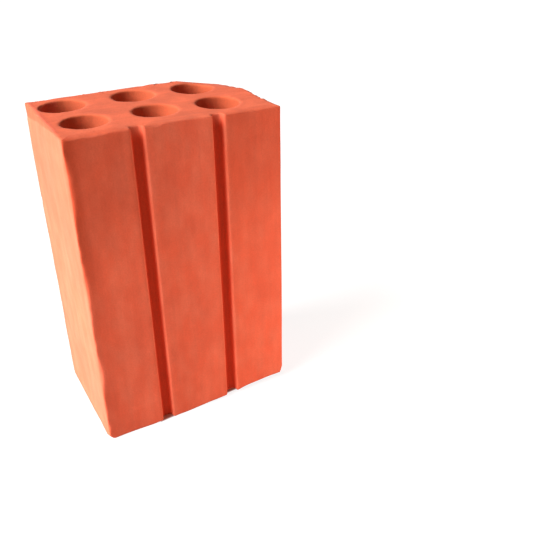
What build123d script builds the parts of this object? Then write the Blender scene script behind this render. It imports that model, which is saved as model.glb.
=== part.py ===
from build123d import *
from math import isclose
import os

# A fired clay brick with round cores, standing on one of its cut ends.
#
# The brick is one piece. A column of soft clay leaves the die with its whole section,
# so the cores, the keying grooves and the combing run straight through it, and a wire
# cuts the column to length. The model is that section pushed along +Z.
#
# Frame: the origin is the centre of the lower cut end and +Z points up along the cores.
# The wide faces are at -Y and +Y, the narrow faces at -X and +X. Sizes are millimetres.

# The brick
WIDTH = 115.0  # along X, across each wide face
THICKNESS = 75.0  # along Y, across each narrow face
LENGTH = 178.0  # along Z, from cut to cut
LONG_EDGE_RADIUS = 1.3  # the corners of the die
ARRIS_RADIUS = 0.6  # the rims of the two cut ends

# The cores, moved together towards -X and +Y, away from the combing. The even walls are what
# equal outer walls and webs would be; the webs between the columns are a little thicker.
CORE_DIAMETER = 23.0
CORE_COLUMNS = 3  # across the width
CORE_ROWS = 2  # across the thickness
CORE_MOUTH_RADIUS = 0.8
COLUMN_WALL = (WIDTH - CORE_COLUMNS * CORE_DIAMETER) / (CORE_COLUMNS + 1)
ROW_WALL = (THICKNESS - CORE_ROWS * CORE_DIAMETER) / (CORE_ROWS + 1)
COLUMN_WEB_SHARE = 1.1  # a web between two columns, as a share of the even wall
CORE_DRIFT = 0.26  # how far the cores are moved, as a share of the even wall

# The keying grooves, in both wide faces
GROOVE_COUNT = 2  # in each face
GROOVE_PITCH = 42.5
GROOVE_WIDTH = 5.5
GROOVE_DEPTH = 3.8
GROOVE_FLOOR_RADIUS = 1.8
GROOVE_LIP_RADIUS = 1.7

# The combing, in the narrow face at +X only
COMB_COUNT = 5  # notches
COMB_PITCH = 9.3
COMB_SHIFT = 4.0  # the comb's middle, from the face's middle towards +Y
COMB_NOTCH_WIDTH = 5.2
COMB_NOTCH_DEPTH = 2.6
COMB_ROOT_RADIUS = 0.5
COMB_LIP_RADIUS = 0.9

# A fillet takes at most this share of the wall that it turns into
FILLET_SHARE = 0.48


def groove_cutter():
    """One groove's section: its mouth centred on the origin, its floor towards -Y."""
    floor_radius = min(GROOVE_FLOOR_RADIUS, FILLET_SHARE * min(GROOVE_WIDTH, GROOVE_DEPTH))
    with BuildSketch() as cutter:
        Rectangle(GROOVE_WIDTH, GROOVE_DEPTH, align=(Align.CENTER, Align.MAX))
        floor_corners = cutter.vertices().group_by(Axis.Y)[0]
        fillet(floor_corners, floor_radius)
    return cutter.sketch


def comb_cutter():
    """One notch of the combing: a V with its mouth centred on the origin, its root towards -Y."""
    with BuildSketch() as cutter:
        Polygon(
            (-COMB_NOTCH_WIDTH / 2, 0),
            (0, -COMB_NOTCH_DEPTH),
            (COMB_NOTCH_WIDTH / 2, 0),
        )
        root = cutter.vertices().group_by(Axis.Y)[0]
        fillet(root, min(COMB_ROOT_RADIUS, FILLET_SHARE * COMB_NOTCH_DEPTH))
    return cutter.sketch


def cut_row(cutter, count, pitch, distance, turn, shift=0.0):
    """Repeat a cutter in a row on the face that lies at a distance from the middle."""
    for k in range(count):
        along = (k - (count - 1) / 2) * pitch + shift
        place = Rot(0, 0, turn) * Pos(along, distance)
        add(place * cutter, mode=Mode.SUBTRACT)


def on_wide_face(vertex):
    return isclose(abs(vertex.Y), THICKNESS / 2, abs_tol=1e-6)


def on_narrow_face(vertex):
    return isclose(abs(vertex.X), WIDTH / 2, abs_tol=1e-6)


def die_section():
    """The brick's section, the same at every height."""
    with BuildSketch() as section:
        Rectangle(WIDTH, THICKNESS)
        for turn in (0, 180):
            cut_row(groove_cutter(), GROOVE_COUNT, GROOVE_PITCH, THICKNESS / 2, turn)
        cut_row(comb_cutter(), COMB_COUNT, COMB_PITCH, WIDTH / 2, 270, -COMB_SHIFT)

        # Each fillet makes new vertices, so each group is picked just before its own
        groove_lips = section.vertices().filter_by(lambda v: on_wide_face(v) and not on_narrow_face(v))
        fillet(groove_lips, min(GROOVE_LIP_RADIUS, FILLET_SHARE * GROOVE_DEPTH))
        comb_lips = section.vertices().filter_by(lambda v: on_narrow_face(v) and not on_wide_face(v))
        fillet(comb_lips, min(COMB_LIP_RADIUS, FILLET_SHARE * (COMB_PITCH - COMB_NOTCH_WIDTH)))
        corners = section.vertices().filter_by(lambda v: on_wide_face(v) and on_narrow_face(v))
        fillet(corners, LONG_EDGE_RADIUS)

        column_pitch = CORE_DIAMETER + COLUMN_WEB_SHARE * COLUMN_WALL
        row_pitch = CORE_DIAMETER + ROW_WALL
        with Locations((-CORE_DRIFT * COLUMN_WALL, CORE_DRIFT * ROW_WALL)):
            with GridLocations(column_pitch, row_pitch, CORE_COLUMNS, CORE_ROWS):
                Circle(CORE_DIAMETER / 2, mode=Mode.SUBTRACT)
    return section.sketch


def brick_body():
    """The section cut to length, with its sharp cut edges eased."""
    with BuildPart() as brick:
        add(die_section())
        extrude(amount=LENGTH)
        faces_by_height = brick.faces().sort_by(Axis.Z)
        rims = ShapeList()
        for cut_end in (faces_by_height[0], faces_by_height[-1]):
            rims += cut_end.outer_wire().edges()
        fillet(rims, ARRIS_RADIUS)
        circles = brick.edges().filter_by(GeomType.CIRCLE)
        core_mouths = circles.filter_by(lambda edge: isclose(edge.radius, CORE_DIAMETER / 2))
        fillet(core_mouths, CORE_MOUTH_RADIUS)
    return brick.part


os.makedirs("parts", exist_ok=True)
export_step(brick_body(), "parts/brick_body.step")
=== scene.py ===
# %% [markdown]
# # A fired clay brick
#
# A cored brick is pushed through a die as one long column of soft clay, cut to length by a
# wire, dried and fired. Each of its surfaces keeps the mark of what made it: the die smooths
# and streaks the sides, the wire drags sand across the two cut ends, one narrow face is combed
# so that mortar grips it, and the edges have been knocked about since. This lesson starts from
# the exact solid and gives every surface its own relief and its own clay.

# %% Load the frame and note the size of the brick
import math
import random

import bmesh
import bpy
from mathutils import Matrix, Vector, kdtree, noise


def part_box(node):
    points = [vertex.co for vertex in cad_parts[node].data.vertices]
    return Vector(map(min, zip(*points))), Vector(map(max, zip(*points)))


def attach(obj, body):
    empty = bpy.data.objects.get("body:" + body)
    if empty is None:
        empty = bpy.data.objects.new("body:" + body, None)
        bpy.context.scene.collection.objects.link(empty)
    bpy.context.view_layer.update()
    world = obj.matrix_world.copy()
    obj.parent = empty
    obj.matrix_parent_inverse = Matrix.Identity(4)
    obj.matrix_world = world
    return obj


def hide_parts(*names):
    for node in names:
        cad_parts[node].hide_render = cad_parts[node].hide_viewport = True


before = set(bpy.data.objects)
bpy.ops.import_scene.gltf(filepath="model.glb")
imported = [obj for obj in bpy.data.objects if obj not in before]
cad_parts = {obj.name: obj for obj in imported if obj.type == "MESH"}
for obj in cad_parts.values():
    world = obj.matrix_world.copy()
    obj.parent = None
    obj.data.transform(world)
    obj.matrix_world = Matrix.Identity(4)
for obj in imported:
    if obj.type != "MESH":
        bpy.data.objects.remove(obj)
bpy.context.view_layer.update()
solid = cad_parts["brick_body"]
low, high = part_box("brick_body")
WIDTH, THICKNESS, LENGTH = high - low


def mm(value):
    """Millimetres as Blender's metres."""
    return value / 1000


print("the brick is", [round(side * 1000, 1) for side in high - low], "mm")

# %% [markdown]
# ## The die's outline
#
# The section of an extruded brick is the same at every height, so one flat slice through the
# solid gives all of it: the outer skin with its grooves and combing, and the six cores.
# `bisect_plane` with both sides cleared keeps only the line of the cut. A slice is better than
# drawing the outline again, because the dressed brick then cannot drift from the solid.

# %% Slice the solid at mid-height
SAME_POINT = mm(0.001)
brick = bmesh.new()
brick.from_mesh(solid.data)
bmesh.ops.remove_doubles(brick, verts=brick.verts, dist=SAME_POINT)
bmesh.ops.bisect_plane(
    brick,
    geom=brick.verts[:] + brick.edges[:] + brick.faces[:],
    plane_co=(0, 0, LENGTH / 2),
    plane_no=(0, 0, 1),
    clear_outer=True,
    clear_inner=True,
)
bmesh.ops.translate(brick, verts=brick.verts, vec=(0, 0, -LENGTH / 2))
print("the slice has", len(brick.edges), "edges")

# %% [markdown]
# ## The cores in the slice
#
# The slice is a set of closed loops: one large one for the skin and a small one for each core.
# Following the edges from point to point finds the loops, and the box of a small loop gives the
# core's axis and radius, so no size of the solid has to be written down again here.

# %% Find the loops and the axes of the cores
def closed_loops(sheet):
    """The loops of a flat outline, each as a set of points."""
    found = []
    for start in sheet.verts:
        if any(start in loop for loop in found):
            continue
        loop, ahead = set(), [start]
        while ahead:
            point = ahead.pop()
            loop.add(point)
            neighbours = [edge.other_vert(point) for edge in point.link_edges]
            ahead += [other for other in neighbours if other not in loop]
        found.append(loop)
    return found


def middle_and_half(loop, axis):
    """The middle of a loop and half its extent along an axis."""
    values = [v.co[axis] for v in loop]
    return (max(values) + min(values)) / 2, (max(values) - min(values)) / 2


core_loops = sorted(closed_loops(brick), key=lambda loop: middle_and_half(loop, 0)[1])[:-1]
core_centres = [
    Vector((middle_and_half(loop, 0)[0], middle_and_half(loop, 1)[0], 0)) for loop in core_loops
]
CORE_RADIUS = max(middle_and_half(loop, 0)[1] for loop in core_loops)
print(len(core_centres), "cores of radius", round(CORE_RADIUS * 1000, 2), "mm")

# %% [markdown]
# ## Points where the detail is
#
# The slice has a point wherever a triangle of the solid was crossed, which is far too many in
# the round parts. `dissolve_limit` takes out those that hardly turn the line. The relief is
# made later by moving points, so the outline then gets new ones at an even step: about one a
# millimetre on the combing and round the corners, and half as many on the plain panels. Only
# the mouth of a core is seen, so its circle gets no new ones.

# %% Tell the cores from the outer skin, and space the skin's points
CORE_TURN = math.radians(7)
SKIN_TURN = math.radians(5)
CORE_MARGIN = mm(1)


def core_near(point):
    """The point on the nearest core's axis that is level with a point."""
    axis = min(core_centres, key=lambda c: (point.x - c.x) ** 2 + (point.y - c.y) ** 2)
    return Vector((axis.x, axis.y, point.z))


def on_core(edge):
    """Whether an edge of the outline is on a core's circle."""
    middle = (edge.verts[0].co + edge.verts[1].co) / 2
    return (middle - core_near(middle)).length < CORE_RADIUS + CORE_MARGIN


for wanted, turn in ((True, CORE_TURN), (False, SKIN_TURN)):
    edges = [e for e in brick.edges if on_core(e) == wanted]
    verts = list(dict.fromkeys(v for e in edges for v in e.verts))
    bmesh.ops.dissolve_limit(brick, angle_limit=turn, verts=verts, edges=edges)
print("the thinned outline has", len(brick.edges), "edges")

FINE_STEP = mm(1.15)
PLAIN_STEP = mm(2.4)
CORNER_REACH = mm(14)
edges_by_cuts = {}
for edge in brick.edges:
    if not on_core(edge):
        plain = all(abs(v.co.x) < WIDTH / 2 - CORNER_REACH for v in edge.verts)
        step = PLAIN_STEP if plain else FINE_STEP
        cuts = math.ceil(edge.calc_length() / step) - 1
        edges_by_cuts.setdefault(cuts, []).append(edge)
for cuts, edges in sorted(edges_by_cuts.items()):
    if cuts > 0:
        bmesh.ops.subdivide_edges(brick, edges=edges, cuts=cuts)
print("the evenly spaced outline has", len(brick.edges), "edges")

# %% [markdown]
# ## The cut ends
#
# A cut end is a flat sheet with six holes. `triangle_fill` closes the outline with long thin
# triangles. Splitting the long edges and letting `beautify_fill` swap the diagonals, a few
# times over, turns them into an even web that can carry the marks of the wire. It is made
# once, in a mesh of its own, and used for both ends.

# %% Fill the outline with an even web of triangles
WEB_STEP = mm(2.3)
WEB_ROUNDS = 10
SMOOTH_ROUNDS, SMOOTH_FACTOR = 3, 0.5
outline_mesh = bpy.data.meshes.new("outline")
brick.to_mesh(outline_mesh)
web = bmesh.new()
web.from_mesh(outline_mesh)
bmesh.ops.triangle_fill(web, edges=web.edges[:], use_beauty=True)


def inner_edges(sheet):
    """The edges of a sheet that are not on its outline."""
    return [e for e in sheet.edges if not e.is_boundary]


for _ in range(WEB_ROUNDS):
    too_long = [e for e in inner_edges(web) if e.calc_length() > WEB_STEP]
    if not too_long:
        break
    bmesh.ops.subdivide_edges(web, edges=too_long, cuts=1)
    bmesh.ops.triangulate(web, faces=web.faces[:])
    bmesh.ops.beautify_fill(web, faces=web.faces[:], edges=inner_edges(web))
loose = [v for v in web.verts if not v.is_boundary]
for _ in range(SMOOTH_ROUNDS):
    bmesh.ops.smooth_vert(web, verts=loose, factor=SMOOTH_FACTOR, use_axis_x=True, use_axis_y=True)
web_mesh = bpy.data.meshes.new("web")
web.to_mesh(web_mesh)
web.free()
print("an end has", len(web_mesh.polygons), "triangles")

# %% [markdown]
# ## The column of clay
#
# The outline is pulled up row by row with `extrude_edge_only`, as the clay leaves the die. The
# rows lie close together near the ends, where edges get chipped, and further apart between.
# The web then closes the column below and above.

# %% Pull the outline up, row by row, and close the ends
# The step between rows near an end, how far from the end it is kept, and the step in between
SKIN_ROWS = (mm(0.7), mm(14), mm(1.7))
CORE_ROWS = (mm(0.8), mm(8), mm(9))
SEAM_GAP = mm(0.002)


def row_heights(end_step, end_reach, middle_step):
    """Heights from 0 to the brick's length, close together near both ends."""
    near = [k * end_step for k in range(round(end_reach / end_step))]
    span = LENGTH - 2 * end_reach
    rows = math.ceil(span / middle_step)
    middle = [end_reach + span * k / rows for k in range(rows + 1)]
    return near + middle + [LENGTH - height for height in reversed(near)]


def pull_up(edges, heights):
    """Extrude the edges once for each height above the first."""
    for below, above in zip(heights, heights[1:]):
        made = bmesh.ops.extrude_edge_only(brick, edges=edges)["geom"]
        verts = [part for part in made if isinstance(part, bmesh.types.BMVert)]
        bmesh.ops.translate(brick, verts=verts, vec=(0, 0, above - below))
        new = set(verts)
        edges = [e for e in made if isinstance(e, bmesh.types.BMEdge) and set(e.verts) <= new]


skin_edges = [e for e in brick.edges if not on_core(e)]
core_edges = [e for e in brick.edges if on_core(e)]
pull_up(skin_edges, row_heights(*SKIN_ROWS))
pull_up(core_edges, row_heights(*CORE_ROWS))
brick.from_mesh(web_mesh)
web_mesh.transform(Matrix.Translation((0, 0, LENGTH)))
brick.from_mesh(web_mesh)
bmesh.ops.remove_doubles(brick, verts=brick.verts, dist=SEAM_GAP)
bmesh.ops.recalc_face_normals(brick, faces=brick.faces)
bpy.data.meshes.remove(outline_mesh)
bpy.data.meshes.remove(web_mesh)
open_edges = sum(not e.is_manifold for e in brick.edges)
print("the column has", len(brick.faces), "faces and", open_edges, "open edges")

# %% [markdown]
# ## Where each point belongs
#
# Every mark on a brick goes into the clay, square to the surface that it is on. So each point
# first gets its place: how deep it lies behind the outer skin, below the nearer cut end and
# outside the nearest core, and which way is inwards from each. The outline's own points, found
# with a KD tree, give the skin's direction, grooves and combing included.

# %% Note the direction of the skin at each point of the outline
SAME_ROW = mm(0.1)
middle_rows = [
    v
    for v in brick.verts
    if LENGTH / 3 < v.co.z < LENGTH / 2 and (v.co - core_near(v.co)).length > CORE_RADIUS + CORE_MARGIN
]
row_height = min(v.co.z for v in middle_rows)
outline = [v for v in middle_rows if v.co.z < row_height + SAME_ROW]
outline_normals = [v.normal.copy() for v in outline]
outline_tree = kdtree.KDTree(len(outline))
for index, v in enumerate(outline):
    outline_tree.insert((v.co.x, v.co.y, 0), index)
outline_tree.balance()
print("the skin's direction is known at", len(outline), "points")


def skin_near(point):
    """The nearest point of the skin, level with a point, its depth behind it and its normal."""
    place, index, depth = outline_tree.find((point.x, point.y, 0))
    return Vector((place.x, place.y, point.z)), depth, outline_normals[index]


# %% [markdown]
# ## The relief of each surface
#
# Relief is a depth in metres for a place on the brick, summed from a few causes, each with the
# size that it has on a real brick: the column warps a little as it dries, the panels between
# the grooves dry slightly hollow, the die leaves faint ribs, combing tears the clay into
# ragged ridges, and the ends are neither quite flat nor quite square. `noise.noise` is
# smooth and the same in each run, which makes it a good stand-in for all of these.

# %% Helpers that shape a depth
SEED_STEPS = (7.3, 3.1, 5.7)  # how far along X, Y and Z the noise of the next seed is read


def clamp(value):
    """The value, but at least 0 and at most 1."""
    return max(0.0, min(1.0, value))


def ease(value):
    """A smooth step from 0 to 1."""
    value = clamp(value)
    return value * value * (3 - 2 * value)


def waves(point, size, seed, stretch=1.0):
    """Smooth noise from about -1 to 1 with features of a size, drawn out along the brick."""
    place = Vector((point.x, point.y, point.z / stretch)) / size
    return noise.noise(place + Vector([seed * step for step in SEED_STEPS]))


# %% Where the marks on the skin are
GROOVE_X = mm(21.25)
GROOVE_HALF = mm(5)  # half of what a groove takes with its rolled lips
DRAG_START = -mm(34.8)  # along Y
DRAG_SLOPE = 0.112  # how much further down the clay reaches for each metre towards the back
DRAG_RAGGED, DRAG_RAG_SIZE = 0.12, mm(9)
COMB_MIDDLE, COMB_REACH = mm(4), mm(23)  # along Y
COMB_DEEP = mm(3)


def panel_hollow(point):
    """How far a panel between two grooves has dried hollow, from 0 at its edges to 1."""
    if abs(point.x) < GROOVE_X:
        across = abs(point.x) / (GROOVE_X - GROOVE_HALF)
    else:
        half = (WIDTH / 2 - GROOVE_X - GROOVE_HALF) / 2
        across = abs(abs(point.x) - (GROOVE_X + GROOVE_HALF + half)) / half
    return 1 - clamp(across) ** 2


def drag_height(point):
    """How far the dragged clay reaches down the left face, which is most at the back."""
    ragged = 1 + DRAG_RAGGED * waves(point, DRAG_RAG_SIZE, seed=17)
    return DRAG_SLOPE * max(point.y - DRAG_START, 0) * ragged


def in_combing(point):
    """Whether a point is on the combed part of the right narrow face."""
    return point.x > WIDTH / 2 - COMB_DEEP and abs(point.y - COMB_MIDDLE) < COMB_REACH


def in_back_groove(point):
    """Whether a point is in one of the two grooves of the back."""
    return point.y > 0 and abs(abs(point.x) - GROOVE_X) < GROOVE_HALF


# %% The depth of the marks on the skin
WARP_DEPTH, WARP_SIZE = mm(0.18), mm(60)
SWELL_DEPTH, SWELL_SIZE, SWELL_STRETCH = mm(0.10), mm(16), 2.5
RIB_DEPTH, RIB_SIZE, RIB_STRETCH = mm(0.04), mm(5), 6
HOLLOW_DEPTH = mm(0.5)
WIDE_FACING = 0.8  # the normal's share along Y from which a point is on a wide face
COMB_RIDGE = mm(1.2)
CRUMB_DEPTH, CRUMB_SIZE = mm(0.16), mm(3)
TEAR_DEPTH, TEAR_SIZE, TEAR_STRETCH = mm(1.6), mm(5), 1.6
TEAR_START = 0.15  # the level of the noise above which the ridge is torn


def skin_depth(point, normal):
    """How deep drying, the die and the comb have marked the skin at a point."""
    depth = WARP_DEPTH * (1 + waves(point, WARP_SIZE, seed=1))
    depth += SWELL_DEPTH * (1 + waves(point, SWELL_SIZE, seed=2, stretch=SWELL_STRETCH))
    depth += RIB_DEPTH * waves(point, RIB_SIZE, seed=3, stretch=RIB_STRETCH)
    if abs(normal.y) > WIDE_FACING:
        depth += HOLLOW_DEPTH * panel_hollow(point)
    if in_combing(point):
        ridge = clamp((point.x - (WIDTH / 2 - COMB_RIDGE)) / COMB_RIDGE)
        crumbs = CRUMB_DEPTH * (1 + waves(point, CRUMB_SIZE, seed=5))
        torn = clamp(waves(point, TEAR_SIZE, seed=4, stretch=TEAR_STRETCH) - TEAR_START)
        depth += ridge * (crumbs + TEAR_DEPTH * torn)
    return max(depth, 0.0)


# %% The depth of the marks on the cut ends
# The right front corner of both ends is a little short in the photo, as if the wire had bowed
# there, and the far right corner of the top slopes away
END_WARP_DEPTH, END_WARP_SIZE = mm(0.16), mm(45)
WIRE_DEPTH, WIRE_ALONG_X, WIRE_ALONG_Y = mm(0.07), mm(16), mm(3.2)
WIRE_SEED_TOP, WIRE_SEED_BOTTOM = 11, 23
SAG_TOP = mm(1.6)
SAG_BOTTOM = mm(4.3)
SAG_LEFT, SAG_ACROSS = -mm(12), mm(70)  # where the sag starts along X, and over what it grows
SAG_BACK, SAG_FORWARDS = mm(30), mm(62)  # the same from the back to the front
SLOPE_DEEP = mm(5.8)
SLOPE_ALONG_X = 0.20
SLOPE_ALONG_Y = 0.13


def end_depth(point, top):
    """How deep the wire and drying have marked a cut end at a point."""
    depth = END_WARP_DEPTH * (1 + waves(point, END_WARP_SIZE, seed=6 if top else 7))
    wire_seed = WIRE_SEED_TOP if top else WIRE_SEED_BOTTOM
    wire_mark = noise.noise(Vector((point.x / WIRE_ALONG_X, point.y / WIRE_ALONG_Y, wire_seed)))
    depth += WIRE_DEPTH * (1 + wire_mark)
    to_right = ease((point.x - SAG_LEFT) / SAG_ACROSS)
    to_front = ease((SAG_BACK - point.y) / SAG_FORWARDS)
    if not top:
        return depth + SAG_BOTTOM * to_right * to_front
    slope = SLOPE_DEEP - SLOPE_ALONG_X * (WIDTH / 2 - point.x) - SLOPE_ALONG_Y * (THICKNESS / 2 - point.y)
    return depth + max(SAG_TOP * to_right * to_front, slope)


# %% [markdown]
# ## Worn rims and corners
#
# A wire leaves sharp rims, which crumble in handling. Each rim gets a small round whose radius
# wanders along it. A point within the radius of both surfaces is pushed out from the round's
# centre line on to the round, which works alike on the skin, on the end and on their edge.

# %% Radii that wander along the rims
# Each radius has a least value, what wear adds at most, the size of the bumps in it, and what is
# added to their noise, which says how common they are
RIM_LEAST, RIM_WEAR, RIM_BUMP, RIM_SHARE = mm(0.45), mm(1.1), mm(9), 0.25
MOUTH_LEAST, MOUTH_WEAR, MOUTH_BUMP, MOUTH_SHARE = mm(0.6), mm(0.9), mm(8), 0.2
CORNER_LEAST, CORNER_WEAR, CORNER_BUMP, CORNER_SHARE = mm(1.3), mm(2.3), mm(24), 0.1
CORNER_CHIP, CHIP_WEIGHT = mm(7), 0.5  # smaller bumps on top
# In the photo the near left edge is knocked about and the near right one is crisp
NEAR_LEFT_WEAR, NEAR_RIGHT_WEAR = 1.4, 0.1
# The left side of the far left core's mouth is the most worn in the photo
WORN_MOUTH = Vector((-mm(51), mm(18), LENGTH))
WORN_REACH, WORN_WEAR = mm(12), mm(2.8)


def rim_radius(point, top):
    """The radius of a cut end's outer rim."""
    worn = clamp(waves(point, RIM_BUMP, seed=8 if top else 9) + RIM_SHARE)
    return RIM_LEAST + RIM_WEAR * worn**2


def mouth_radius(point):
    """The radius of a core's mouth."""
    worn = clamp(1 - (point - WORN_MOUTH).length / WORN_REACH)
    bumps = clamp(waves(point, MOUTH_BUMP, seed=10) + MOUTH_SHARE)
    return MOUTH_LEAST + MOUTH_WEAR * bumps + WORN_WEAR * worn


def corner_radius(point):
    """The radius of the brick's four long edges, which are knocked about more than the rims."""
    bumps = clamp(waves(point, CORNER_BUMP, seed=12) + CORNER_SHARE)
    bumps += CHIP_WEIGHT * clamp(waves(point, CORNER_CHIP, seed=13))
    if point.y < 0:
        bumps *= NEAR_RIGHT_WEAR if point.x > 0 else NEAR_LEFT_WEAR
    return CORNER_LEAST + CORNER_WEAR * bumps


def rounded(depth_a, depth_b, radius):
    """How far a point at two depths moves in from both surfaces to lie on the round."""
    if depth_a >= radius or depth_b >= radius:
        return 0.0, 0.0
    from_centre = Vector((depth_a - radius, depth_b - radius))
    on_round = from_centre.normalized() * radius
    return on_round.x - from_centre.x, on_round.y - from_centre.y


def corner_pull(point):
    """The move that takes a point on a long edge in to the edge's wandering radius."""
    radius = corner_radius(point)
    inset = Vector((WIDTH / 2 - abs(point.x), THICKNESS / 2 - abs(point.y)))
    if max(inset) >= radius:
        return Vector((0, 0, 0))
    from_centre = inset - Vector((radius, radius))
    if from_centre.length <= radius:
        return Vector((0, 0, 0))
    move = from_centre.normalized() * radius - from_centre
    return Vector((-math.copysign(move.x, point.x), -math.copysign(move.y, point.y), 0))


# %% [markdown]
# ## Broken corners
#
# Where a corner has broken off, the clay parts along a rough, nearly flat face. Every point
# beyond that face is brought back to it, with a little noise for the grain of the break. The
# places of the first few are read from the photo: both near corners of the foot, the near right
# and the far left corner of the top, its near and far rims and a pock beside a core. The rest
# are scattered by a seeded random generator, as every brick of a stack has some.

# %% List the breaks: a corner or edge point, the way the break faces, its depth and its reach
HALF_X, HALF_Y = WIDTH / 2, THICKNESS / 2
WHOLE = mm(60)  # the reach of a break that takes the whole corner and doesn't fade out
breaks = [
    (Vector((HALF_X, -HALF_Y, LENGTH)), Vector((0.6, -0.4, 0.7)), mm(1.9), WHOLE),
    (Vector((-mm(44), -HALF_Y, LENGTH)), Vector((0.0, -0.45, 0.9)), mm(1.3), mm(26)),
    (Vector((-HALF_X, -HALF_Y, 0)), Vector((-0.7, -0.35, -0.6)), mm(2.6), WHOLE),
    (Vector((HALF_X, -HALF_Y, 0)), Vector((0.74, -0.60, -0.30)), mm(3.4), WHOLE),
    (Vector((-HALF_X, HALF_Y, LENGTH)), Vector((-0.8, 0.3, 0.5)), mm(1.1), WHOLE),
    (Vector((-mm(11), -HALF_Y, LENGTH)), Vector((-0.1, -0.7, 0.7)), mm(1.4), mm(11)),
    (Vector((mm(7.8), HALF_Y, LENGTH)), Vector((0.1, 0.6, 0.8)), mm(1.4), mm(5)),
    (Vector((mm(12.8), -mm(26), LENGTH)), Vector((0, 0, 1)), mm(1.0), mm(3)),
]

# %% Scatter the nicks
NICKS = 46
DICE_SEED = 5
NICK_TILT = 0.3
NICK_INSET = mm(0.8)
NICK_LEAST, NICK_MORE = mm(0.5), mm(1.1)
NICK_REACH = (2.5, 5)  # as a multiple of the nick's depth
dice = random.Random(DICE_SEED)
for _ in range(NICKS):
    along = dice.choice("XXYZZ")  # the edges along Y are the shortest
    sides = [dice.choice((-1, 1)) for _ in range(3)]
    place = Vector((sides[0] * HALF_X, sides[1] * HALF_Y, LENGTH if sides[2] > 0 else 0))
    facing = Vector(sides)
    where = dice.random()
    if along == "X":
        place.x = (where - 0.5) * WIDTH
        facing.x = dice.uniform(-NICK_TILT, NICK_TILT)
    elif along == "Y":
        place.y = (where - 0.5) * THICKNESS
        facing.y = dice.uniform(-NICK_TILT, NICK_TILT)
    else:
        place.z = where * LENGTH
        facing.z = dice.uniform(-NICK_TILT, NICK_TILT)
        place.x -= sides[0] * NICK_INSET
        place.y -= sides[1] * NICK_INSET
    depth = NICK_LEAST + NICK_MORE * dice.random() ** 2
    reach = depth * dice.uniform(*NICK_REACH)
    if along != "Z" or sides[1] > 0:  # the front's long edges have no sharp nicks in the photo
        breaks.append((place, facing.normalized(), depth, reach))
breaks = [(place, facing.normalized(), depth, reach) for place, facing, depth, reach in breaks]
print("there are", len(breaks), "breaks and nicks")

# %% Break the clay away
GRAIN_DEPTH, GRAIN_SIZE = mm(0.35), mm(3.5)
GRIT_DEPTH, GRIT_SIZE = mm(0.15), mm(1.6)


def broken(point):
    """A point's place once the breaks have brought it back, and how far that moved it."""
    moved = point.copy()
    for place, facing, depth, reach in breaks:
        away = (point - place).length
        if away < reach:
            grain = GRAIN_DEPTH * waves(point, GRAIN_SIZE, seed=14)
            grain += GRIT_DEPTH * waves(point, GRIT_SIZE, seed=15)
            fade = 1 if reach == WHOLE else 1 - ease(away / reach)
            proud = (moved - place).dot(facing) + depth * fade + grain
            if proud > 0:
                moved -= facing * proud
    return moved, (moved - point).length


# %% [markdown]
# ## Carve the relief
#
# One pass over the points adds the moves up. Skin relief fades out behind the skin and end
# relief fades out below the end, so both sides of a rim move together and the mesh stays
# closed. Three marks come from the wire: it drags clay down over the left rim of the top, it
# leaves a burr that closes the mouths of the combing and of the back's grooves, and it has
# dragged the mouths of some cores a little aside. The result is kept inside the solid's box.
# How much clay is missing is kept as an attribute for the materials, and so are two painted shades: a
# deeper red on a groove's floor, and a dark red beside the left edge of the front. The second also makes
# the outer panels and the left face darker towards the top.

# %% Where shade is painted beside the front's left edge, and where the skin grows darker towards the top
EDGE_SHADE_LOW, EDGE_SHADE_HIGH = 0.12, 0.9  # the painted shade beside the left edge, at its foot and at its top
PANEL_DARKENING = 0.32
LEFT_FACE_DARKENING = 0.1
EDGE_SHADE_INSET, EDGE_SHADE_ACROSS = mm(1), mm(10)
LEFT_FACING, FRONT_FACING = -0.7, -0.6
# Where each kind of darkening starts, and over what length it grows
EDGE_FROM, EDGE_OVER = mm(60), mm(90)
HIGH_FROM, HIGH_OVER = mm(95), mm(55)
OUTER_FROM, OUTER_OVER = mm(2), mm(2)


def edge_shade_and_darkening(point, normal):
    """How much painted shade a point gets beside the front's left edge, and how much darker it is high on
    the outer panels and the left face.
    """
    high = ease((point.z - HIGH_FROM) / HIGH_OVER)
    if normal.x < LEFT_FACING:
        return LEFT_FACE_DARKENING * high
    if normal.y > FRONT_FACING:
        return 0.0
    beside = 1 - ease((point.x + WIDTH / 2 - EDGE_SHADE_INSET) / EDGE_SHADE_ACROSS)
    edge = beside * (EDGE_SHADE_LOW + (EDGE_SHADE_HIGH - EDGE_SHADE_LOW) * ease((point.z - EDGE_FROM) / EDGE_OVER))
    outer = ease((abs(point.x) - GROOVE_X - OUTER_FROM) / OUTER_OVER)
    return max(edge, PANEL_DARKENING * high * outer)


# %% The three marks of the wire
WORN_FULL = mm(0.9)  # the missing clay at which a place looks fully worn
DRAG_DEPTH, DRAG_REACH = mm(1.3), mm(9)  # how far in and how far down the rim is pushed
DRAG_FULL = mm(8)  # the height of dragged clay at which it is as deep as it gets
DRAG_EDGE = mm(1.5)
BURR_REACH = mm(3.2)
BURR_GAP = mm(0.9)  # how far behind the face a burr lies
ASIDE_FADE, ASIDE_DEEP = mm(4.8), mm(15)
# A point in each core whose mouth the wire has dragged aside, and how far
dragged_mouths = [
    (Vector((-mm(38), mm(19), 0)), Vector((-mm(2.4), mm(0.5), 0))),
    (Vector((-mm(38), -mm(14), 0)), Vector((-mm(0.7), 0, 0))),
    (Vector((mm(32), mm(19), 0)), Vector((-mm(1.6), -mm(1.8), 0))),
    (Vector((mm(32), -mm(14), 0)), Vector((-mm(1.3), -mm(1.2), 0))),
]


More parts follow.
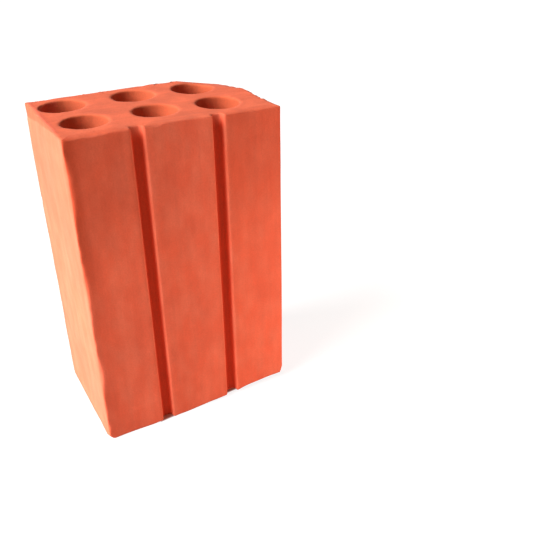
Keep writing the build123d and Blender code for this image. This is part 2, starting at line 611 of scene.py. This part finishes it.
def dragged_over(skin_point, below_end, fade):
    """The move of a point by the left rim, over which clay was dragged, and how much of the worn clay's
    colour the band below that rim gets.
    """
    reach = drag_height(skin_point)
    left_over = 1 - ease((below_end - reach + DRAG_EDGE) / DRAG_EDGE)
    share = clamp(reach / DRAG_FULL)
    push = DRAG_DEPTH * share * clamp(1 - below_end / DRAG_REACH) * fade
    return Vector((push, 0, 0)), WORN_FULL * left_over * fade


def burred(skin_point, below_end, fade):
    """The move of a point that closes the mouth of the combing, or of a groove of the back."""
    burr = ease((BURR_REACH - below_end) / BURR_REACH) * fade
    if in_combing(skin_point):
        return Vector(((WIDTH / 2 - BURR_GAP - skin_point.x) * burr, 0, 0))
    if in_back_groove(skin_point):
        return Vector((0, (THICKNESS / 2 - BURR_GAP - skin_point.y) * burr, 0))
    return Vector((0, 0, 0))


def dragged_aside(axis_point, behind_wall, below_end):
    """The move of a point near a core's mouth that the wire has dragged aside."""
    fade = (1 - ease(behind_wall / ASIDE_FADE)) * (1 - ease(below_end / ASIDE_DEEP))
    for inside, aside in dragged_mouths:
        if (axis_point.xy - inside.xy).length < CORE_RADIUS:
            return aside * fade
    return Vector((0, 0, 0))


# %% Move the points
SKIN_FADE, END_FADE, MOUTH_FADE = mm(6), mm(14), mm(4)
# A groove's floor gets a painted shade of deeper red: it starts at this depth behind the skin, is full at
# this one, and fades out over this length below the top end
GROOVE_SHADE_START, GROOVE_SHADE_FULL = mm(1.0), mm(3.0)
GROOVE_SHADE_FADE = mm(8)
WOBBLE_DEPTH, WOBBLE_SIZE, WOBBLE_STRETCH = mm(0.12), mm(9), 3
# How much of each move counts as clay that is missing
CORNER_COUNTS, RIM_COUNTS, MOUTH_COUNTS = 0.4, 0.7, 0.5


def carve(point):
    """A point's new place, the clay missing there, and its painted shades: on a groove's floor, and beside
    the left edge with the darkening towards the top.
    """
    top = point.z > LENGTH / 2
    below_end = LENGTH - point.z if top else point.z
    inwards = Vector((0, 0, -1 if top else 1))
    axis_point = core_near(point)
    outwards = point - axis_point
    behind_wall = outwards.length - CORE_RADIUS
    outwards.normalize()
    skin_point, behind_skin, normal = skin_near(point)
    missing, painted_groove_shade, painted_edge_shade_and_darkening = 0.0, 0.0, 0.0

    move = inwards * end_depth(point, top) * (1 - ease(below_end / END_FADE))
    if behind_skin < SKIN_FADE:
        fade = 1 - ease(behind_skin / SKIN_FADE)
        # painted shade beside the front's left edge, and a darkening towards the top
        painted_edge_shade_and_darkening = edge_shade_and_darkening(skin_point, normal)
        depth = min(WIDTH / 2 - abs(skin_point.x), THICKNESS / 2 - abs(skin_point.y))
        # painted shade of deeper red on a groove's floor, stronger the deeper the point lies
        painted_groove_shade = clamp((depth - GROOVE_SHADE_START) / (GROOVE_SHADE_FULL - GROOVE_SHADE_START))
        if top:
            painted_groove_shade *= ease(below_end / GROOVE_SHADE_FADE)  # the painted shade fades out towards a groove's upper end
            if normal.x < LEFT_FACING:
                push, worn_coloured_band = dragged_over(skin_point, below_end, fade)
                move += push
                missing += worn_coloured_band
            move += burred(skin_point, below_end, fade)
        move -= normal * skin_depth(skin_point, normal) * fade
        pull = corner_pull(skin_point) * fade
        move += pull
        in_from_skin, down = rounded(behind_skin, below_end, rim_radius(skin_point, top))
        move += inwards * down - normal * in_from_skin
        missing += pull.length * CORNER_COUNTS + (in_from_skin + down) * RIM_COUNTS
    if behind_wall < ASIDE_FADE:
        wobble = WOBBLE_DEPTH * waves(point, WOBBLE_SIZE, seed=16, stretch=WOBBLE_STRETCH)
        into_clay, down = rounded(max(behind_wall, 0), below_end, mouth_radius(point))
        move += outwards * (into_clay + wobble * (1 - ease(behind_wall / MOUTH_FADE))) + inwards * down
        missing += (into_clay + down) * MOUTH_COUNTS
        if top:
            move += dragged_aside(axis_point, behind_wall, below_end)

    place, gone = broken(point + move)
    for axis in range(3):
        place[axis] = max(low[axis], min(high[axis], place[axis]))
    return place, clamp((missing + gone) / WORN_FULL), painted_groove_shade, painted_edge_shade_and_darkening


worn_layer = brick.verts.layers.float.new("worn")
# painted shade on a groove's floor
painted_groove_shade_layer = brick.verts.layers.float.new("painted_groove_shade")
# painted shade beside the front's left edge, and a darkening towards the top
painted_edge_shade_and_darkening_layer = brick.verts.layers.float.new("painted_edge_shade_and_darkening")
for v in brick.verts:
    v.co, v[worn_layer], v[painted_groove_shade_layer], v[painted_edge_shade_and_darkening_layer] = carve(v.co)
print("points with clay missing:", sum(v[worn_layer] > 0.5 for v in brick.verts))

# %% [markdown]
# ## One piece, four kinds of surface
#
# It is all one clay, but the light shows four surfaces: die-smoothed skin, wire-cut ends,
# combing and core walls. Each face gets the slot of the surface that it belongs to.

# %% Sort the faces into the four kinds of surface
SKIN, CUT, COMB, CORE = range(4)
CUT_FACING, CUT_REACH = 0.6, mm(4)
WALL_MARGIN = mm(0.8)


def surface_of(face):
    """Which of the four kinds of surface a face is part of."""
    middle = face.calc_center_median()
    if abs(face.normal.z) > CUT_FACING and min(middle.z, LENGTH - middle.z) < CUT_REACH:
        return CUT
    if (middle - core_near(middle)).length < CORE_RADIUS + WALL_MARGIN:
        return CORE
    if in_combing(middle):
        return COMB
    return SKIN


brick.normal_update()
for face in brick.faces:
    face.smooth = True
    face.material_index = surface_of(face)
mesh = bpy.data.meshes.new("fired_brick")
brick.to_mesh(mesh)
brick.free()
piece = bpy.data.objects.new("fired_brick", mesh)
bpy.context.scene.collection.objects.link(piece)
counts = [sum(p.material_index == kind for p in mesh.polygons) for kind in range(4)]
print("faces of skin, cut, comb and core:", counts)
print("triangles:", sum(len(p.vertices) - 2 for p in mesh.polygons))

# %% [markdown]
# ## Fired red clay
#
# Red brick clay is iron-rich clay and fine sand, fired to about 1000 degrees. It is matt and
# porous: nearly no shine, a colour that drifts from brown-red to orange over a few
# centimetres with the fire, and a fine sandy speckle. A node tree is built from these parts
# with one function that adds a node, sets it and links it.

# %% A colour helper and a node helper
def linear(hex_colour):
    """An sRGB hex colour as linear RGBA."""
    channels = [int(hex_colour[k : k + 2], 16) / 255 for k in (1, 3, 5)]
    return [c / 12.92 if c <= 0.04045 else ((c + 0.055) / 1.055) ** 2.4 for c in channels] + [1]


def add(tree, kind, inputs=None, **settings):
    """Add a node, set its properties, and set or link its inputs by name or number."""
    made = tree.nodes.new(kind)
    for name, value in settings.items():
        setattr(made, name, value)
    for socket, value in (inputs or {}).items():
        if isinstance(value, bpy.types.NodeSocket):
            tree.links.new(value, made.inputs[socket])
        else:
            made.inputs[socket].default_value = value
    return made


# %% [markdown]
# ## The four finishes
#
# All four share one recipe and differ in its numbers: how strongly the surface is streaked and which way,
# how coarse its grain is, and how much darker it grows towards the top. The four shades are the clay's two
# tones, the worn clay of rims and breaks, and a deeper red painted on a groove's floor as shade. The upper
# half of the skin is made a little darker towards the top, and pale dust lies on it in faint patches. Noise
# is read from Object coordinates, which here are metres, so a pattern of a given size in millimetres has a
# scale of one over that size. Sand grains are 0.3 to 0.6 mm; they are drawn at 0.9 mm, as finer ones would
# vanish in the picture.

# %% The patterns in the clay
DUST_SIZE = (9, 9, 20)  # millimetres
FIRE_SIZE, CLOUD_SIZE, SAND_SIZE, PIT_SIZE = mm(55), mm(11), mm(0.9), mm(6)


def patterns(tree, streaks):
    """What varies over the clay, by name: patterns, height, wear, and the painted shade of the grooves and
    of the left edge.
    """
    place = add(tree, "ShaderNodeTexCoord").outputs["Object"]
    found = {"height": add(tree, "ShaderNodeSeparateXYZ", {0: place}).outputs[2]}
    for name, sizes in (("streak", streaks), ("dust", DUST_SIZE)):
        per_metre = [1000 / size for size in sizes]
        along = add(tree, "ShaderNodeMapping", {"Vector": place, "Scale": per_metre}).outputs[0]
        drawn_out = {"Vector": along, "Scale": 1.0, "Detail": 3.0}
        found[name] = add(tree, "ShaderNodeTexNoise", drawn_out).outputs[0]
    for name, size, detail in (
        ("fire", FIRE_SIZE, 2.0),
        ("cloud", CLOUD_SIZE, 4.0),
        ("grain", SAND_SIZE, 2.0),
    ):
        even = {"Vector": place, "Scale": 1 / size, "Detail": detail}
        found[name] = add(tree, "ShaderNodeTexNoise", even).outputs[0]
    cells = {"Vector": place, "Scale": 1 / PIT_SIZE}
    found["pits"] = add(tree, "ShaderNodeTexVoronoi", cells, feature="F1").outputs[0]
    for name in ("worn", "painted_groove_shade", "painted_edge_shade_and_darkening"):
        found[name] = add(tree, "ShaderNodeAttribute", attribute_name=name).outputs["Fac"]
    return found


# %% The colour of the clay
EDGE_SHADE_AND_DARKENING_COLOUR = "#B43A10"  # the dark red painted as shade beside the front's left edge, which also darkens the upper outer panels
DUST = "#F0B090"  # fine pale dust of fired clay, rubbed into the skin in patches
SPECKLE = 0.05
# the height from which the skin grows darker towards the top
TONED_FROM = mm(90)
# Noise keeps near 0.5, so each pattern goes from none to full between two levels beside it
FIRE_SPAN, DUST_SPAN = (0.3, 0.7), (0.38, 0.66)
CLOUD_SPAN, STREAK_SPAN, GRAIN_SPAN = (0.3, 0.7), (0.25, 0.75), (0.3, 0.7)
WORN_SPAN = (0.15, 0.5)  # of the wear times the clouds, which makes its edge ragged


def clay_tint(tree, found, shade, dust):
    """Two tones of clay, dust over them, then the painted shade of the grooves, and that of the front's
    left edge with the darkening towards the top.
    """
    body = add(tree, "ShaderNodeValToRGB", {"Fac": found["fire"]})
    for element, level, tint in zip(body.color_ramp.elements, FIRE_SPAN, shade):
        element.position = level
        element.color = linear(tint)
    span = {"Value": found["dust"], "From Min": DUST_SPAN[0], "From Max": DUST_SPAN[1], "To Max": dust}
    film = add(tree, "ShaderNodeMapRange", span).outputs[0]
    base = body.outputs[0]
    # After the dust, two mixes paint shade: deeper red on a groove's floor, and dark red beside the front's
    # left edge, which also darkens the upper panels
    for share, tint in ((film, DUST), (found["painted_groove_shade"], shade[3]), (found["painted_edge_shade_and_darkening"], EDGE_SHADE_AND_DARKENING_COLOUR)):
        mixed = {"Factor": share, 6: base, 7: linear(tint)}
        base = add(tree, "ShaderNodeMix", mixed, data_type="RGBA").outputs[2]
    return base


def clay_light(tree, found, clouds, tone, upper):
    """How light the clay is: clouds, streaks, speckle, and a darkening towards the top."""
    levels = []
    for name, (start, end), (first, last) in (
        ("cloud", CLOUD_SPAN, (1 - clouds, 1 + clouds)),
        ("streak", STREAK_SPAN, (1 - tone, 1 + tone)),
        ("grain", GRAIN_SPAN, (1 - SPECKLE, 1 + SPECKLE)),
        ("height", (TONED_FROM, LENGTH), (1.0, upper)),
    ):
        span = {"Value": found[name], "From Min": start, "From Max": end, "To Min": first, "To Max": last}
        levels.append(add(tree, "ShaderNodeMapRange", span).outputs[0])
    light = levels[0]
    for level in levels[1:]:
        light = add(tree, "ShaderNodeMath", {0: light, 1: level}, operation="MULTIPLY").outputs[0]
    return light


def worn_through(tree, found, colour, fresh_clay):
    """The colour with fresh clay in its place where the surface is worn or broken."""
    both = {0: found["worn"], 1: found["cloud"]}
    rag = add(tree, "ShaderNodeMath", both, operation="MULTIPLY").outputs[0]
    span = {"Value": rag, "From Min": WORN_SPAN[0], "From Max": WORN_SPAN[1]}
    share = add(tree, "ShaderNodeMapRange", span).outputs[0]
    mixed = {"Factor": share, 6: colour, 7: linear(fresh_clay)}
    return add(tree, "ShaderNodeMix", mixed, data_type="RGBA").outputs[2]


# %% Relief that is too fine for the mesh
PIT_STRENGTH, PIT_DEPTH = 0.25, 0.5  # the depth in millimetres, as the recipe has its bumps


def fine_relief(tree, found, streak_bump, grain_bump):
    """The normal of streaks, pits and grains, each bump standing on the one before."""
    below = {}
    for name, strength, depth in (
        ("streak", 1.0, streak_bump),
        ("pits", PIT_STRENGTH, PIT_DEPTH),
        ("grain", 1.0, grain_bump),
    ):
        bump = {"Height": found[name], "Strength": strength, "Distance": mm(depth), **below}
        below = {"Normal": add(tree, "ShaderNodeBump", bump).outputs[0]}
    return below["Normal"]


# %% The recipe
IOR_CLAY = 1.5
ROUGH_CLAY = 0.92


def clay(name, shade, streaks, streak_bump, grain_bump, tone, clouds=0.045, upper=1.0, dust=0.0):
    """A fired clay, with the size of its streaks along X, Y and Z and its bumps in millimetres."""
    material = bpy.data.materials.new(name)
    material.use_nodes = True
    tree = material.node_tree
    tree.nodes.clear()
    found = patterns(tree, streaks)
    base = clay_tint(tree, found, shade, dust)
    light = clay_light(tree, found, clouds, tone, upper)
    toned = add(tree, "ShaderNodeVectorMath", {0: base, "Scale": light}, operation="SCALE").outputs[0]
    surface = {
        "Base Color": worn_through(tree, found, toned, shade[2]),
        "Roughness": ROUGH_CLAY,
        "IOR": IOR_CLAY,
        "Normal": fine_relief(tree, found, streak_bump, grain_bump),
    }
    shader = add(tree, "ShaderNodeBsdfPrincipled", surface).outputs[0]
    add(tree, "ShaderNodeOutputMaterial", {"Surface": shader})
    return material


# %% Give each surface its finish
# In each shade, the last colour is the deeper red painted as shade on a groove's floor
# The die leaves the skin closed and nearly even, with faint streaks along the brick
die_smoothed = clay(
    "die_smoothed_clay",
    shade=("#D4583A", "#DE5E3E", "#BC4A2A", "#D84018"),
    streaks=(3, 3, 45),
    streak_bump=0.07,
    grain_bump=0.05,
    tone=0.05,
    upper=0.94,
    dust=0.08,
)
# The wire leaves the ends open and sandy, with long rough marks along X and stronger clouds
wire_cut = clay(
    "wire_cut_clay",
    shade=("#C9593A", "#D76340", "#C4553A", "#D06040"),
    streaks=(22, 2.5, 22),
    streak_bump=0.16,
    grain_bump=0.10,
    tone=0.07,
    clouds=0.12,
)
# The comb tears the clay open, in short and narrow rough streaks
combed = clay(
    "combed_clay",
    shade=("#CC5C3E", "#DA6A48", "#B9482A", "#D84A22"),
    streaks=(1.6, 1.6, 20),
    streak_bump=0.16,
    grain_bump=0.10,
    tone=0.06,
    dust=0.05,
)
# The core walls are smoothed by the die too, but nothing rubs or dusts them, so they are deeper
core_wall = clay(
    "core_wall_clay",
    shade=("#C4532F", "#D0623C", "#C8583A", "#CA5C3A"),
    streaks=(2.5, 2.5, 40),
    streak_bump=0.10,
    grain_bump=0.06,
    tone=0.05,
)
finishes = [die_smoothed, wire_cut, combed, core_wall]  # in the order of SKIN, CUT, COMB and CORE
for finish in finishes:
    mesh.materials.append(finish)
print("finishes:", [finish.name for finish in finishes])

# %% [markdown]
# ## The piece takes the solid's place
#
# The dressed brick rides on the body that the solid rode on, and stands for the solid.

# %% Tie the piece to the frame
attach(piece, "root")
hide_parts("brick_body")

# %% [markdown]
# ## A white floor that keeps the shadow
#
# The photo's ground is plain white. The camera sees the floor's own pale glow plus what light
# falls on it, so it is white where it is lit and a little darker in the brick's shadow. All
# other rays see a matt grey floor, which sends less light back up, so that the grooves and the
# cores stay deep and red. In the notch at a groove's foot the floor only sees red clay, so it
# is shown in its shade; the notch on the right is seen from above a slightly raised foot.

# %% Tell what the camera sees from what lights the scene
WHITE = (1, 1, 1, 1)


def seen_directly(tree):
    """1 for what the camera sees directly, or in gloss or glass, and 0 for other light."""
    path = add(tree, "ShaderNodeLightPath").outputs
    seen = path["Is Camera Ray"]
    for ray in ("Is Glossy Ray", "Is Transmission Ray"):
        seen = add(tree, "ShaderNodeMath", {0: seen, 1: path[ray]}, operation="MAXIMUM").outputs[0]
    return seen


# %% The floor
FLOOR_HALF = 3.0
floor_shape = bmesh.new()
bmesh.ops.create_grid(floor_shape, x_segments=1, y_segments=1, size=FLOOR_HALF)
floor_mesh = bpy.data.meshes.new("floor")
floor_shape.to_mesh(floor_mesh)
floor_shape.free()
floor = bpy.data.objects.new("floor", floor_mesh)
bpy.context.scene.collection.objects.link(floor)
print("the floor is", 2 * FLOOR_HALF, "m wide")

# %% Where the floor is in the brick's shade
CONTACT = mm(1.2)
SHADE_MIDDLE = mm(2.2)  # how far behind the front of the foot the shade starts at x = 0
SHADE_SLOPE = 0.085  # and how much further for each metre to the right, where the foot is raised
NOTCH_SHADED, NOTCH_LIT = mm(4.3), mm(5.5)  # from a groove's middle
paper = bpy.data.materials.new("white_floor")
paper.use_nodes = True
tree = paper.node_tree
tree.nodes.clear()
ground = add(tree, "ShaderNodeTexCoord").outputs["Object"]
apart = add(tree, "ShaderNodeSeparateXYZ", {0: ground}).outputs
beside = []
for axis, half in ((0, HALF_X), (1, HALF_Y)):
    reach = add(tree, "ShaderNodeMath", {0: apart[axis]}, operation="ABSOLUTE").outputs[0]
    beside.append(add(tree, "ShaderNodeMath", {0: reach, 1: half}, operation="SUBTRACT").outputs[0])
outside = add(tree, "ShaderNodeMath", {0: beside[0], 1: beside[1]}, operation="MAXIMUM").outputs[0]
raised = {0: apart[0], 1: SHADE_SLOPE, 2: SHADE_MIDDLE}
hidden = add(tree, "ShaderNodeMath", raised, operation="MULTIPLY_ADD").outputs[0]
past_foot = add(tree, "ShaderNodeMath", {0: outside, 1: hidden}, operation="ADD").outputs[0]
span = {"Value": past_foot, "From Min": -CONTACT, "From Max": 0.0}
in_front = add(tree, "ShaderNodeMapRange", span).outputs[0]
from_groove = add(tree, "ShaderNodeMath", {0: beside[0], 1: HALF_X - GROOVE_X}, operation="ADD").outputs[0]
from_groove = add(tree, "ShaderNodeMath", {0: from_groove}, operation="ABSOLUTE").outputs[0]
span = {"Value": from_groove, "From Min": NOTCH_SHADED, "From Max": NOTCH_LIT}
between = add(tree, "ShaderNodeMapRange", span).outputs[0]
open_floor = add(tree, "ShaderNodeMath", {0: in_front, 1: between}, operation="MAXIMUM").outputs[0]
print("the shade under the foot takes", len(tree.nodes), "nodes")

# %% The floor's white paper
# Matt background paper. It glows only where it is seen directly, so its white lights nothing
# the dark red painted as shade on the floor in a groove's notch at the foot
PAINTED_NOTCH_SHADE = "#7A3020"
FLOOR_GLOW = 0.86
FLOOR_CATCH = 0.2  # the share of the light on the floor that the camera sees
FLOOR_GREY = "#B8ADA4"  # the floor for all other rays
matt = add(tree, "ShaderNodeBsdfDiffuse", {"Color": linear(FLOOR_GREY)}).outputs[0]
shown = add(tree, "ShaderNodeBsdfDiffuse", {"Color": (FLOOR_CATCH, FLOOR_CATCH, FLOOR_CATCH, 1)}).outputs[0]
# in a groove's notch under the foot the glow is dark red: painted shade
mixed = {"Factor": open_floor, 6: linear(PAINTED_NOTCH_SHADE), 7: WHITE}
under = add(tree, "ShaderNodeMix", mixed, data_type="RGBA").outputs[2]
glow = add(tree, "ShaderNodeEmission", {"Color": under, "Strength": FLOOR_GLOW}).outputs[0]
lit = add(tree, "ShaderNodeAddShader", {0: glow, 1: shown}).outputs[0]
both = add(tree, "ShaderNodeMixShader", {0: seen_directly(tree), 1: matt, 2: lit}).outputs[0]
add(tree, "ShaderNodeOutputMaterial", {"Surface": both})
floor_mesh.materials.append(paper)
print("the floor's material has", len(tree.nodes), "nodes")

# %% World
AMBIENT = 0.12
AMBIENT_TINT = "#FFEEDD"
world = bpy.data.worlds.new("studio")
bpy.context.scene.world = world
world.use_nodes = True
tree = world.node_tree
tree.nodes.clear()
seen = seen_directly(tree)
strength = add(tree, "ShaderNodeMapRange", {"Value": seen, "To Min": AMBIENT, "To Max": 1.0}).outputs[0]
tint = add(tree, "ShaderNodeMix", {0: seen, 6: linear(AMBIENT_TINT), 7: WHITE}, data_type="RGBA").outputs[2]
sky = add(tree, "ShaderNodeBackground", {"Color": tint, "Strength": strength}).outputs[0]
add(tree, "ShaderNodeOutputWorld", {"Surface": sky})
print("the world lights the brick at", AMBIENT)

# %% [markdown]
# ## A wide lamp from the upper left
#
# In the photo the front is only grazed, and the cores are lit on their right walls, with a soft
# and gradual edge. So the key light stands to the left, well above the brick, and is wide. A sun
# lamp gives the same level everywhere, and its width softens the shadows.

# %% Key light
KEY_FROM = Vector((-0.80, -0.05, 0.60))
KEY_STRENGTH = 6.3
KEY_WIDTH = math.radians(40)
lamp = bpy.data.lights.new("key", "SUN")
lamp.energy = KEY_STRENGTH
lamp.angle = KEY_WIDTH
key = bpy.data.objects.new("key", lamp)
key.rotation_euler = KEY_FROM.to_track_quat("Z", "Y").to_euler()
bpy.context.scene.collection.objects.link(key)

# %% [markdown]
# ## Two low cards
#
# The left face in the photo is far brighter than the lit walls of the cores, so part of its
# light comes from so low that it cannot fall into a core: a white card stands to the left, no
# higher than the brick. The front grows brighter towards its lower right corner, as it does
# beside anything warm that stands there, so a smaller warm card stands low on the right. What
# is near an area lamp gets more of its light than what is far from it.

# %% Cards
def card(name, at, aim, size, power, colour):
    """A rectangle of light, wide and high as its size says, that faces a point."""
    lamp = bpy.data.lights.new(name, "AREA")
    lamp.shape = "RECTANGLE"
    lamp.size, lamp.size_y = size
    lamp.energy = power
    lamp.color = linear(colour)[:3]
    stand = bpy.data.objects.new(name, lamp)
    turn = (at - aim).to_track_quat("Z", "Y").to_matrix().to_4x4()
    stand.matrix_world = Matrix.Translation(at) @ turn
    stand.visible_camera = False
    bpy.context.scene.collection.objects.link(stand)


card(
    "left_card",
    at=Vector((-mm(620), mm(22), mm(85))),
    aim=Vector((-HALF_X, 0, mm(85))),
    size=(mm(250), mm(160)),
    power=5.3,
    colour="#FFFFFF",
)
card(
    "right_card",
    at=Vector((mm(235), -mm(145), mm(55))),
    aim=Vector((mm(20), -HALF_Y, mm(45))),
    size=(mm(120), mm(120)),
    power=0.60,
    colour="#FFD2B8",
)
print("lamps:", sorted(light.name for light in bpy.data.lights))

# %% [markdown]
# ## The camera
#
# The camera was solved from the straight edges of the brick in the photo: where it stands, the
# way it looks, its slight roll and its lens. A matrix built from those four says it plainly.

# %% Camera
CAMERA_AT = Vector((mm(-121.85), mm(-342.12), mm(275.84)))
LOOKS_RIGHT_OF_Y = math.radians(29.27)
LOOKS_DOWN = math.radians(29.11)
ROLL = math.radians(0.91)
LENS, SENSOR = 45.93, 36  # millimetres

turn = (
    Matrix.Rotation(-LOOKS_RIGHT_OF_Y, 4, "Z")
    @ Matrix.Rotation(math.pi / 2 - LOOKS_DOWN, 4, "X")
    @ Matrix.Rotation(-ROLL, 4, "Z")
)
lens = bpy.data.cameras.new("camera")
lens.lens = LENS
lens.sensor_width = SENSOR
camera = bpy.data.objects.new("camera", lens)
camera.matrix_world = Matrix.Translation(CAMERA_AT) @ turn
bpy.context.scene.collection.objects.link(camera)
bpy.context.scene.camera = camera
bpy.context.scene.view_settings.view_transform = "Standard"
print("the camera stands", round(CAMERA_AT.length * 1000), "mm from the middle of the foot")
